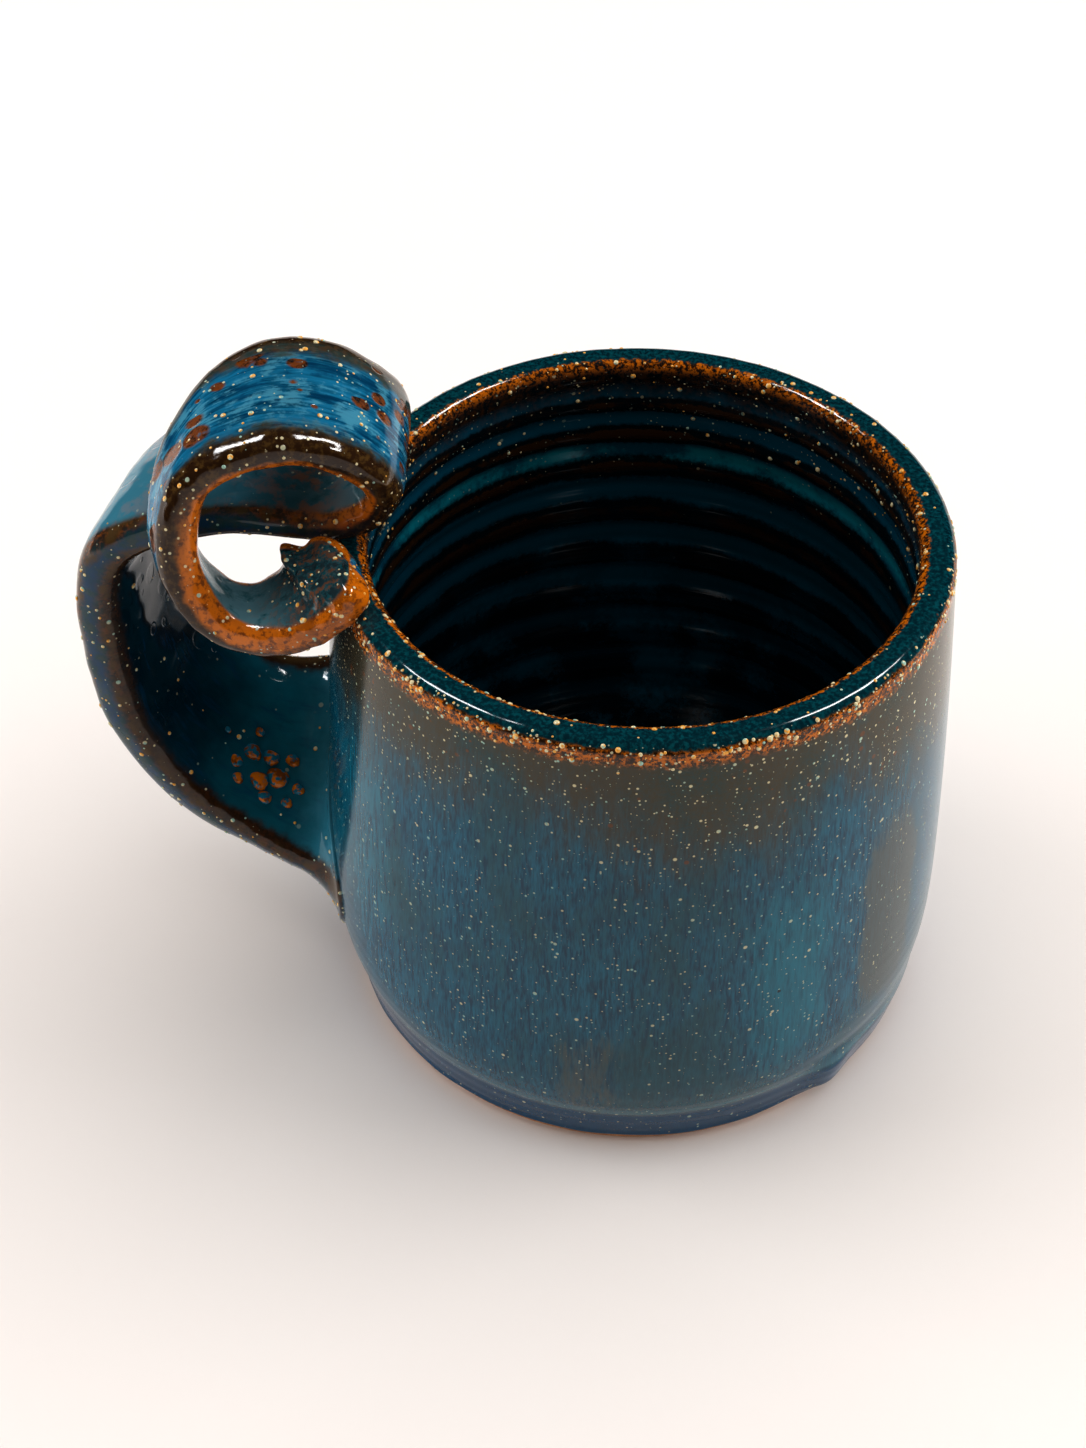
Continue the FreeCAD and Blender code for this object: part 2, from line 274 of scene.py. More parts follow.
def skin_mesh(name, grid, close_start, close_end, attributes):
    """Closed mesh from rows of points that each run right round; grid is in millimetres.

    close_start and close_end are the single points that close the first and the last row.
    """
    rows, around = grid.shape[:2]
    points = np.concatenate([grid.reshape(-1, 3), [close_start], [close_end]]) * MM
    row, step = np.meshgrid(np.arange(rows - 1), np.arange(around), indexing="ij")
    a = row * around + step
    b = row * around + (step + 1) % around
    quads = np.stack([a, b, b + around, a + around], -1).reshape(-1, 4)
    step = np.arange(around)
    ahead = (step + 1) % around
    first, last = rows * around, rows * around + 1
    final = (rows - 1) * around
    fans = [np.stack([ahead, step, np.full(around, first)], -1),
            np.stack([final + step, final + ahead, np.full(around, last)], -1)]
    mesh = bpy.data.meshes.new(name)
    mesh.from_pydata(points.tolist(), [], quads.tolist() + fans[0].tolist() + fans[1].tolist())
    for key, values in attributes.items():
        layer = mesh.attributes.new(key, "FLOAT", "POINT")
        ends = [values.reshape(rows, around)[0].mean(), values.reshape(rows, around)[-1].mean()]
        layer.data.foreach_set("value", np.concatenate([values.ravel(), ends]).astype(np.float32))
    mesh.shade_smooth()
    return mesh


def piece(name, mesh, material, slot, *replaced):
    """Object at the origin that rides on the frame and stands for the named nodes."""
    thing = bpy.data.objects.new(name, mesh)
    bpy.context.scene.collection.objects.link(thing)
    thing.data.materials.append(material)
    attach(thing, "root")
    if replaced:
        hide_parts(*replaced)
    return thing


# --- Mug body -------------------------------------------------------------------------------------
BELLY_Z, RIDGE_Z, RIDGE_STEP, FOOT_STEP = 24.0, 9.0, 2.0, 1.6
UPPER_FALL, LOWER_FALL = 1.45, 3.0
FLOOR_TOP, FLOOR_ROUND = 7.0, 13.0
RUN_DEG, RUN_WIDE = -18.0, 30.0   # where the glaze ran down over the turned edge, and how far round
RINGS = (12.0, 19.0, 27.0, 35.5, 44.2, 53.1, 62.7, 69.2, 75.2, 80.5)  # heights of the throwing ridges inside
VEIL = (  # azimuth and how far down from the lip the thin olive glaze reaches there
    (-180, 15), (-150, 17), (-120, 12), (-101, 12), (-90, 17), (-78, 21), (-62, 18), (-52, 10), (-40, 19),
    (-18, 23), (15, 12), (45, 20), (80, 14), (110, 22), (145, 13), (180, 15))


def wall_radius(z):
    top = HEIGHT - 1.9
    upper = BELLY_R - (BELLY_R - RIM_R) * np.clip((z - BELLY_Z) / (top - BELLY_Z), 0, 1) ** UPPER_FALL
    lower = BELLY_R - RIDGE_STEP * np.clip((BELLY_Z - z) / (BELLY_Z - RIDGE_Z), 0, 1) ** LOWER_FALL
    return np.where(z > BELLY_Z, upper, lower)


def arc_points(centre, radius, start, end, count):
    a = np.radians(np.linspace(start, end, count))
    return np.stack([centre[0] + radius * np.cos(a), centre[1] + radius * np.sin(a)], -1)


def body_outline(shape):
    """Radius and height from the glaze line, up the outside, over the lip and down to the floor."""
    lip, rounding, wall = shape.lip / MM, shape.round / MM, shape.wall / MM
    top = HEIGHT - rounding
    ridge_r, line_r = BELLY_R - RIDGE_STEP, BELLY_R - RIDGE_STEP - FOOT_STEP
    roll = arc_points((line_r - 0.25, BARE_H + 0.55), 0.55, -100, 10, 9)
    chamfer = np.linspace((line_r + 0.30, BARE_H + 1.3), (ridge_r - 0.12, RIDGE_Z - 0.45), 12)
    z = np.concatenate([np.linspace(RIDGE_Z + 0.15, RIDGE_Z + 4.0, 14), np.linspace(RIDGE_Z + 4.6, top, 90)])
    outside = np.stack([wall_radius(z), z], -1)
    over = arc_points((RIM_R - rounding, top), rounding, 3, 90, 18)
    back = arc_points((RIM_R - lip + rounding, top), rounding, 90, 177, 18)
    flat = np.linspace(over[-1], back[0], 6)[1:-1]
    z = np.linspace(top, FLOOR_TOP + FLOOR_ROUND, 110)
    thick = wall + (lip - wall) * np.clip((z - BELLY_Z) / (top - BELLY_Z), 0, 1)
    inside = np.stack([wall_radius(z) - thick, z], -1)
    turn_r = inside[-1][0] - FLOOR_ROUND
    turn = arc_points((turn_r, FLOOR_TOP + FLOOR_ROUND), FLOOR_ROUND, 0, -90, 28)[1:]
    floor = np.linspace((turn_r, FLOOR_TOP), (0.6, FLOOR_TOP), 24)[1:]
    return np.concatenate([roll, chamfer, outside, over, flat, back, inside, turn, floor])


def ring_phase(z):
    """1 on a throwing ridge, -1 half-way between two."""
    return np.cos(2 * math.pi * np.interp(z, RINGS, np.arange(len(RINGS))))


def body_mesh(shape):
    outline = body_outline(shape)
    steps = np.linalg.norm(np.diff(outline, axis=0), axis=1)
    travel = np.concatenate([[0.0], np.cumsum(steps)])
    crest = travel[np.argmax(outline[:, 1] >= HEIGHT - 1e-6)] + (shape.lip - 2 * shape.round) / MM / 2
    down = travel - crest
    tangent = np.gradient(outline, axis=0)
    tangent /= np.linalg.norm(tangent, axis=1)[:, None]
    normal = np.stack([tangent[:, 1], -tangent[:, 0]], -1)
    angle = np.linspace(0, 2 * math.pi, shape.segments, endpoint=False)
    a, d = np.meshgrid(angle, down, indexing="xy")
    r, z = [np.repeat(outline[:, i:i + 1], shape.segments, 1) for i in (0, 1)]
    nr, nz = [np.repeat(normal[:, i:i + 1], shape.segments, 1) for i in (0, 1)]
    inside = smoothstep(d, 2.0, 8.0)
    outside = smoothstep(-d, 1.0, 8.0)
    # the ridges inside climb as one spiral and wander a little
    climb = z + wave(a + z * 0.05, 7, (1, 2, 3), 1.2)
    ring = ring_phase(climb)
    depth = shape.ring_depth / MM
    fine_rings = 0.22 * np.sin(2 * math.pi * (climb + a) / 2.9)
    move = inside * depth * (0.8 * ring + fine_rings) * smoothstep(z, 6.5, 9.0)
    r_floor = np.clip(r / 30.0, 0, 1)
    move += inside * (z < 7.6) * 0.22 * np.sin(2 * math.pi * (r / 4.2 + a / (2 * math.pi))) * r_floor
    move += outside * 0.022 * np.sin(2 * math.pi * (z + a / 2.3) / 2.7) * smoothstep(z, 40.0, 8.0)
    move += outside * wave(a + z * 0.02, 3, (2, 3, 5), 0.10)
    lip = np.exp(-(d / 3.5) ** 2)
    move += lip * (wave(a, 5, (2, 3, 4, 7, 11, 17), 0.16) + wave(a, 8, (29, 41, 53), 0.05)) - 0.05 * lip
    edge = np.exp(-((d - 2.6) / 0.8) ** 2) + 0.7 * np.exp(-((d + 2.9) / 0.9) ** 2)
    move += edge * (0.06 + wave(a + 0.3 * d, 12, (47, 61, 83, 107), 0.16))
    # glaze rolled up at its lower end, with a run that filled the turned edge on one side
    near_line = smoothstep(-z, -(BARE_H + 2.4), -(BARE_H + 0.3)) * outside
    move += near_line * (0.05 + wave(a, 9, (5, 8, 13, 21, 34), 0.16))
    turn = (np.degrees(a) - RUN_DEG + 180.0) % 360.0 - 180.0
    run = np.exp(-(turn / RUN_WIDE) ** 6) * outside
    lump = np.exp(-((turn + RUN_WIDE * 0.95) / 5.0) ** 2) * outside
    fill = smoothstep(z, 1.2, 4.0) * smoothstep(z, 12.5, 8.0)
    move += run * fill * 1.0 + lump * fill * 1.1
    r, z = r + nr * move, z + nz * move
    r = np.minimum(r, BELLY_R + 0.02)
    z = np.minimum(np.maximum(z, BARE_H - 0.2), HEIGHT + 0.3)
    grid = np.stack([r * np.cos(a), r * np.sin(a), z], -1)
    azimuth = (np.degrees(a) + 180.0) % 360.0 - 180.0
    veil = -np.interp(azimuth, *zip(*VEIL)) - d
    teal = patch(azimuth, z, -60, 36, 9, 20) + 0.8 * patch(azimuth, z, -150, 48, 14, 22) \
        + 0.8 * patch(azimuth, z, 60, 40, 16, 20)
    brown = patch(azimuth, z, -36, 37, 9, 21) + 0.55 * patch(azimuth, z, -97, 18, 8, 14) \
        + 0.8 * patch(azimuth, z, 105, 40, 12, 20) + 0.6 * patch(azimuth, z, 20, 30, 10, 14)
    crowd = np.exp(-((d - 1.7) / 0.6) ** 2) * 0.50 + np.exp(-((d + 3.2) / 1.1) ** 2) * 0.75 \
        + 0.04 * (np.abs(d) < 6) + 0.07 * (d > 2.5) * (d < 16)
    fields = {"down": d, "ring": ring * inside * smoothstep(z, 6.5, 10.0), "veil": veil, "teal": teal,
              "brown": brown, "crowd": crowd}
    under, floor = (0.0, 0.0, BARE_H), (0.0, 0.0, FLOOR_TOP)
    return skin_mesh("mug_body", grid, under, floor, {key: field.ravel() for key, field in fields.items()})


def patch(azimuth, z, at_azimuth, at_z, wide, tall):
    """Soft-sided upright patch on the wall: 1 in its middle, 0 well outside."""
    across = np.abs((azimuth - at_azimuth + 180.0) % 360.0 - 180.0) / wide
    return np.exp(-across ** 4 - (np.abs(z - at_z) / tall) ** 4)


def body_glaze(colours):
    """Blue outer glaze, olive under the lip, amber on the lip's edges, near-black inside."""
    t = Tree("running_blue_glaze")
    down, ring, veil = t.attribute("down"), t.attribute("ring"), t.attribute("veil")
    big = t.noise(t.stretched(15, 15, 30), detail=3.0)
    mid = t.noise(t.stretched(4, 4, 7), detail=4.0)
    fine = t.noise(t.stretched(0.60, 0.60, 6.0), detail=3.0, rough=0.6)
    hair = t.noise(t.stretched(0.24, 0.24, 2.2), detail=2.0, rough=0.6)
    grain = t.noise(t.mm, scale=2.2, detail=3.0, rough=0.7)
    blotch = t.noise(t.mm, scale=1.1, detail=4.0, rough=0.65)
    cloud = t.noise(t.mm, scale=0.11, detail=4.0)
    height = t.add("ShaderNodeSeparateXYZ", {}, {0: t.mm}, "Z")
    # outside, from the belly up
    streak = (fine * 0.5 + hair * 0.5).ramp(0.36, 0.66)
    base = t.mix(streak * 0.8, colours.blue, colours.blue_light)
    base = t.mix((big + (fine - 0.5) * 0.5).ramp(0.46, 0.66) * 0.6, base, colours.slate)
    teal = (t.attribute("teal") * 0.8 + (fine - 0.5) * 1.3 + (mid - 0.5) * 0.6).ramp(0.15, 1.0)
    base = t.mix(teal * 0.75, base, colours.teal)
    brown = (t.attribute("brown") + (fine - 0.5) * 0.9 + (mid - 0.5) * 0.5).ramp(0.35, 0.75)
    base = t.mix(brown * 0.75, base, colours.drab)
    reach = veil + (mid - 0.5) * 14.0 + (fine - 0.5) * 9.0 + (big - 0.5) * 12.0
    olive = t.mix(grain.ramp(0.35, 0.7) * 0.6, colours.olive, colours.slate)
    olive = t.mix((big + (mid - 0.5) * 0.5).ramp(0.62, 0.44) * 0.45, olive, colours.olive_brown)
    base = t.mix(reach.ramp(12.0, -9.0) * 0.95, base, olive)
    chamfer = (height + (mid - 0.5) * 0.8).ramp(RIDGE_Z + 0.1, RIDGE_Z - 0.7)
    # painted highlight: a paler blue-grey band just above the turned ridge
    pale_and_sheen = height.band(RIDGE_Z + 0.2, 0.4, RIDGE_Z + 1.6, 1.2)
    base = t.mix(pale_and_sheen * 0.5, base, colours.blue_grey_sheen)
    base = t.mix(chamfer * 0.85, base, colours.deep)
    # outer edge of the lip breaks to amber
    wander = down + (mid - 0.5) * 1.4 + (blotch - 0.5) * 1.6
    outer_break = wander.band(-4.9, 0.7, -2.5, 0.25)
    inner_break = (down + (blotch - 0.5) * 1.4).band(1.35, 0.2, 3.0, 1.0)
    amber = t.mix(blotch.ramp(0.42, 0.60), colours.rust, colours.amber)
    amber = t.mix((grain + blotch * 0.5).ramp(0.80, 0.66), amber, colours.burnt)
    top = t.mix(fine.ramp(0.4, 0.7), colours.lip_dark, colours.lip_light)
    base = t.mix(wander.ramp(-2.6, -2.2), base, top)
    # liner: the ridges break to brown and the hollows between them pool blue
    pool = (ring * -0.5 + 0.5 + (blotch - 0.5) * 0.5 + (cloud - 0.5) * 0.9)
    low = height.ramp(22.0, 56.0, False)
    # painted highlight: a bright teal ring high on the liner
    painted_ring_highlight = (height + (blotch - 0.5) * 1.2).band(64.9, 0.8, 67.4, 0.8)
    liner = t.mix(pool.ramp(0.35, 0.75), colours.ink, colours.navy)
    murk = t.mix((cloud + (blotch - 0.5) * 0.3).ramp(0.48, 0.70) * 0.7, colours.ink, colours.navy)
    liner = t.mix((1.0 - low) * 0.85, liner, murk)
    liner = t.mix((pool.ramp(0.15, 0.0)) * height.ramp(40.0, 60.0) * 0.8, liner, colours.tea)
    liner = t.mix(painted_ring_highlight * 0.8 * (cloud + (blotch - 0.5) * 0.3).ramp(0.36, 0.60), liner, colours.ring_highlight_teal)
    throat = (down + (mid - 0.5) * 6.0).ramp(10.0, 5.0)
    liner = t.mix(throat * 0.85, liner, t.mix(blotch.ramp(0.4, 0.6), colours.ink, colours.tea))
    base = t.mix((down + (blotch - 0.5) * 0.8).ramp(1.4, 2.0), base, liner)
    base = t.mix(outer_break.most(inner_break * blotch.ramp(0.30, 0.44)) * 0.96, base, amber)
    # specks
    out = down.ramp(-1.5, -2.5)
    within = down.ramp(2.0, 3.0)
    thin = reach.ramp(4.0, -4.0)
    crowd = (thin * 0.50 + height.ramp(5.0, 40.0) * 0.15 + 0.30) * out + within * down.ramp(30.0, 3.0) * 0.5
    small, tone = t.specks(t.mm, 0.70, 0.21, crowd * 1.3)
    large, _ = t.specks(t.vector("ADD", t.mm, (31.0, 17.0, 5.0)), 1.5, 0.33, crowd * 0.8)
    pits, _ = t.specks(t.vector("ADD", t.mm, (9.0, 3.0, 55.0)), 6.0, 0.5, 0.10)
    speck_colour = t.mix(tone.ramp(0.45, 0.9), colours.cream, colours.mint)
    marks = small.most(large)
    base = t.mix(marks * (0.40 + out * 0.25 + thin * out * 0.2), base, speck_colour)
    freckle, _ = t.specks(t.vector("ADD", t.mm, (3.0, 71.0, 15.0)), 1.7, 0.45, (thin * out) * 0.5)
    base = t.mix(freckle * 0.55, base, colours.rust)
    base = t.mix(pits * out * 0.85, base, colours.ink)
    height_mm = marks * 0.9 + fine * 0.10 * out + grain * 0.04 - pits * 0.8 \
        + blotch * (outer_break + inner_break) * 0.2
    rough = 0.08 + marks * 0.12 + grain * 0.06 + out * 0.03
    return t.finish(base, rough, height_mm, 0.05, IOR=1.5)


class MUG_OT_body(bpy.types.Operator):
    """Builds the glazed body: outside, lip and liner as one closed skin"""
    bl_idname, bl_label = "mug.body", "Glazed body"

    def execute(self, context):
        colours, shape, _ = settings()
        piece("mug_body", body_mesh(shape), body_glaze(colours), "blue_glaze", "thrown_body", "outer_glaze",
              "lip_glaze", "liner_glaze", "glaze_line_roll", "glaze_drop")
        return {"FINISHED"}


# --- Strap ------------------------------------------------------------------------------------------
# near (out, side, up), far (out, side, up), thickness; out from the wall or rim, millimetres
SINK, STRAP_SIDE = 3.0, -6.0
CURL_R, CURL_OUT, CURL_UP, CURL_T = 12.1, 6.5, 6.1, 6.4
EAR = [
    ((-SINK, -11.0, 0.190), (-SINK, 21.5, 0.490), 9.8),
    ((5.7, -8.5, 0.245), (7.4, 19.0, 0.470), 9.8),
    ((20.3, -6.5, 0.356), (18.9, 18.0, 0.512), 9.5),
    ((30.6, STRAP_SIDE, 0.550), (27.2, 17.0, 0.645), 9.1),
    ((33.6, STRAP_SIDE, 0.790), (30.0, 17.0, 0.825), 8.8),
    ((31.2, STRAP_SIDE, 0.955), (27.2, 18.0, 0.985), 8.0),
]
OVER = [
    ((20.0, STRAP_SIDE, 1.7), (15.5, 18.0, 2.6), 7.0),
    ((8.0, STRAP_SIDE, 2.7), (6.5, 17.0, 3.1), CURL_T),
    ((-2.5, -6.6, 3.1), (-3.5, 17.0, 3.7), CURL_T),
]
CURL = [  # angle round the curl, near side, strap width, how far the near and far edges stand out
    (11, -8.0, 24.0, 2.6, 2.0), (55, -9.5, 24.0, 1.3, 1.3), (90, -11.2, 24.3, 0.5, 1.2),
    (130, -13.0, 21.5, 0.4, 2.0), (168, -15.2, 10.0, -0.5, 3.0), (188, -16.4, 9.4, -0.5, 3.0),
    (212, -17.5, 9.2, 0.3, 2.4), (250, -19.3, 10.6, 1.3, 1.3),
]
TAIL = [
    ((1.4, -21.0, -4.4), (5.4, -7.4, -3.9), 6.2),
    ((-5.5, -20.8, 1.6), (1.0, -7.2, 1.7), 5.8),
]
SKIRT, SKIRT_FOOT = 5.0, 0.25    # size of the fillet where the strap is smoothed onto the wall
SHOULDER, CROSSING, CURL_FROM, CURL_BEND, CURL_UNDER = 4, 7, 9, 12, 15    # numbers of the strap's stations
BEADS = (  # distance along the strap, place across it, radius of a frozen bead of glaze
    (16.0, 0.30, 1.6), (19.0, 0.42, 1.4), (14.0, 0.10, 1.0), (21.0, 0.20, 1.3), (12.4, 0.35, 0.9),
    (23.4, 0.36, 1.0), (17.6, 0.14, 1.2), (17.6, 0.55, 1.0), (22.6, 0.52, 0.9), (14.0, 0.52, 0.8),
    (26.5, 0.12, 0.5), (20.4, -0.05, 0.7))
BEAD_SUNK = 0.35    # how far a bead's middle lies under the strap's face


def strap_stations():
    def wall_point(out, side, share):
        z = share * HEIGHT
        return [-(math.sqrt(float(wall_radius(np.array(z))) ** 2 - side ** 2) + out), side, z]

    def rim_point(out, side, up):
        return [-(RIM_R + out), side, HEIGHT + up]

    def curl_point(angle, side, radius):
        a = math.radians(angle)
        return rim_point(CURL_OUT - radius * math.cos(a), side, CURL_UP + radius * math.sin(a))

    rows = [(wall_point(*n), wall_point(*f), t) for n, f, t in EAR]
    rows += [(rim_point(*n), rim_point(*f), t) for n, f, t in OVER]
    rows += [(curl_point(a, s, CURL_R + near), curl_point(a, s + w, CURL_R + far), CURL_T)
             for a, s, w, near, far in CURL]
    rows += [(rim_point(*n), rim_point(*f), t) for n, f, t in TAIL]
    return [np.array(column, float) for column in zip(*rows)]


def smooth_through(knots, values, at):
    """Natural cubic curve through values at knots, read at the places at."""
    values = values.reshape(len(knots), -1)
    h = np.diff(knots)
    n = len(knots)
    system, right = np.eye(n), np.zeros((n, values.shape[1]))
    for i in range(1, n - 1):
        system[i, i - 1:i + 2] = h[i - 1], 2 * (h[i - 1] + h[i]), h[i]
        right[i] = 6 * ((values[i + 1] - values[i]) / h[i] - (values[i] - values[i - 1]) / h[i - 1])
    bend = np.linalg.solve(system, right)
    k = np.clip(np.searchsorted(knots, at, side="right") - 1, 0, n - 2)
    a, b = knots[k + 1] - at, at - knots[k]
    hk = h[k][:, None]
    a, b = a[:, None], b[:, None]
    return (bend[k] * a ** 3 + bend[k + 1] * b ** 3) / (6 * hk) + (values[k] / hk - bend[k] * hk / 6) * a \
        + (values[k + 1] / hk - bend[k + 1] * hk / 6) * b


def strap_frame(at):
    """Middle, unit directions and half sizes of the strap at distances along it, and its stations' knots."""
    near, far, thick = strap_stations()
    middle = (near + far) / 2
    knots = np.concatenate([[0.0], np.cumsum(np.linalg.norm(np.diff(middle, axis=0), axis=1))])
    if at is None:
        return knots
    step = 0.05
    near_at, far_at = smooth_through(knots, near, at), smooth_through(knots, far, at)
    near_on, far_on = smooth_through(knots, near, at + step), smooth_through(knots, far, at + step)
    along = unit(near_on - near_at) + unit(far_on - far_at)
    across = (near_at - far_at) / 2
    up = unit(np.cross(along, across))
    half_w = np.linalg.norm(across, axis=1)
    half_t = smooth_through(knots, thick, at)[:, 0] / 2
    return (near_at + far_at) / 2, unit(along), unit(across), up, half_w, half_t


def unit(vectors):
    return vectors / np.linalg.norm(vectors, axis=-1, keepdims=True)


def lumps(points, size, seed):
    """Smooth unevenness in space, from a few crossing waves; size is the length of the waves."""
    rng = np.random.default_rng(seed)
    total = np.zeros(points.shape[:-1])
    for _ in range(9):
        heading = unit(rng.normal(size=3))
        phase = points @ heading * (2 * math.pi / size) * rng.uniform(0.7, 1.5)
        total = total + np.sin(phase + rng.uniform(0, 6.28))
    return total / 4.0


def strap_mesh(around=104):
    knots = strap_frame(None)
    length = knots[-1]
    at = np.concatenate([np.linspace(0, 12, 70)[:-1], np.linspace(12, length - 12, 360)[:-1],
                         np.linspace(length - 12, length, 60)])
    middle, along, across, up, half_w, half_t = strap_frame(at)
    nose = half_t[-1]
    tips = np.radians([10, 20, 30, 40, 50, 60, 69, 77, 84])
    grow = np.concatenate([np.ones(len(at)), np.cos(tips) ** 0.5])
    ahead = np.concatenate([np.zeros(len(at)), nose * np.sin(tips)])
    index = np.concatenate([np.arange(len(at)), np.full(len(tips), len(at) - 1)])
    frames = (middle, along, across, up, half_w, half_t)
    middle, along, across, up, half_w, half_t = [values[index] for values in frames]
    at = at[index] + ahead
    angle = np.linspace(0, 2 * math.pi, around, endpoint=False)
    angle = angle + 0.18 * np.sin(2 * angle + math.pi) * -1
    c, s = np.cos(angle), np.sin(angle)
    w = np.sign(c) * np.abs(c) ** (2 / 3.0)
    h = np.sign(s) * np.abs(s) ** (2 / 3.0)
    wide, tall = (half_w * grow)[:, None] * w, (half_t * grow)[:, None] * h
    side = w * np.abs(w) / half_w[:, None]
    lift = h * np.abs(h) / half_t[:, None]
    scale = np.sqrt(side ** 2 + lift ** 2)
    side, lift = side / scale, lift / scale
    grid = (middle + along * ahead[:, None])[:, None] + across[:, None] * wide[..., None]
    grid = grid + up[:, None] * tall[..., None]
    normal = across[:, None] * side[..., None] + up[:, None] * lift[..., None]
    a, f, x = [np.broadcast_to(v, grid.shape[:2]) for v in (at[:, None], h[None], w[None])]
    # the faces are not quite flat: a pulled strap is hollowed along its middle and thicker at its edges
    curl = smoothstep(a, knots[CROSSING], knots[CURL_FROM])
    tail = smoothstep(a, length - 16, length - 3)
    move = -0.35 * (1 - np.abs(x)) * np.abs(f) * (1 - tail)
    move = move + 0.16 * lumps(grid, 11.0, 2) + (0.03 + 0.10 * tail) * lumps(grid, 3.4, 5)
    rim = np.exp(-((side * np.sign(x) - 0.72) / 0.16) ** 2)
    move = move + 0.10 * curl * rim * (0.8 + lumps(grid, 3.6, 9))
    # the pressed end: a ragged ridge of clay and glaze pushed up across the hollow face
    ridge = np.exp(-((a - (length - 2.6 + 1.6 * x)) / 1.7) ** 2) * smoothstep(-f, -0.1, 0.7)
    move = move + ridge * (1.3 - 1.3 * x + 0.45 * lumps(grid, 4.6, 14))
    grid = grid + normal * move[..., None]
    grid = smooth_onto_wall(grid, normal, a)
    spread = {"along": a, "across": x, "face": f, "edge": np.abs(side), "curl": curl, "tail": tail}
    crowd = np.abs(side) ** 3 * (0.22 + 0.55 * curl) * smoothstep(-a, -knots[-1], -8.0)
    spread["crowd"] = crowd + 0.02 + 0.05 * curl * (f > 0.5) + tail * 0.25
    tip = middle[-1] + along[-1] * nose
    mesh = skin_mesh("strap", grid, grid[0].mean(0), tip, {k: v.ravel() for k, v in spread.items()})
    return mesh, knots


def smooth_onto_wall(grid, normal, along):
    """Spreads the strap's root into a concave fillet that runs out onto the wall."""
    flat = np.sqrt(grid[..., 0] ** 2 + grid[..., 1] ** 2)
    out = unit(np.stack([grid[..., 0], grid[..., 1], np.zeros_like(flat)], -1))
    gap = flat - wall_radius(grid[..., 2]) - SKIRT_FOOT
    root = along < 26.0
    left = np.clip(gap, 0, SKIRT)
    flare = np.where(root, SKIRT - np.sqrt(SKIRT ** 2 - (SKIRT - left) ** 2), 0.0)
    heading = normal - out * (normal * out).sum(-1, keepdims=True)
    heading = unit(heading + 1e-9)
    return grid + heading * flare[..., None]


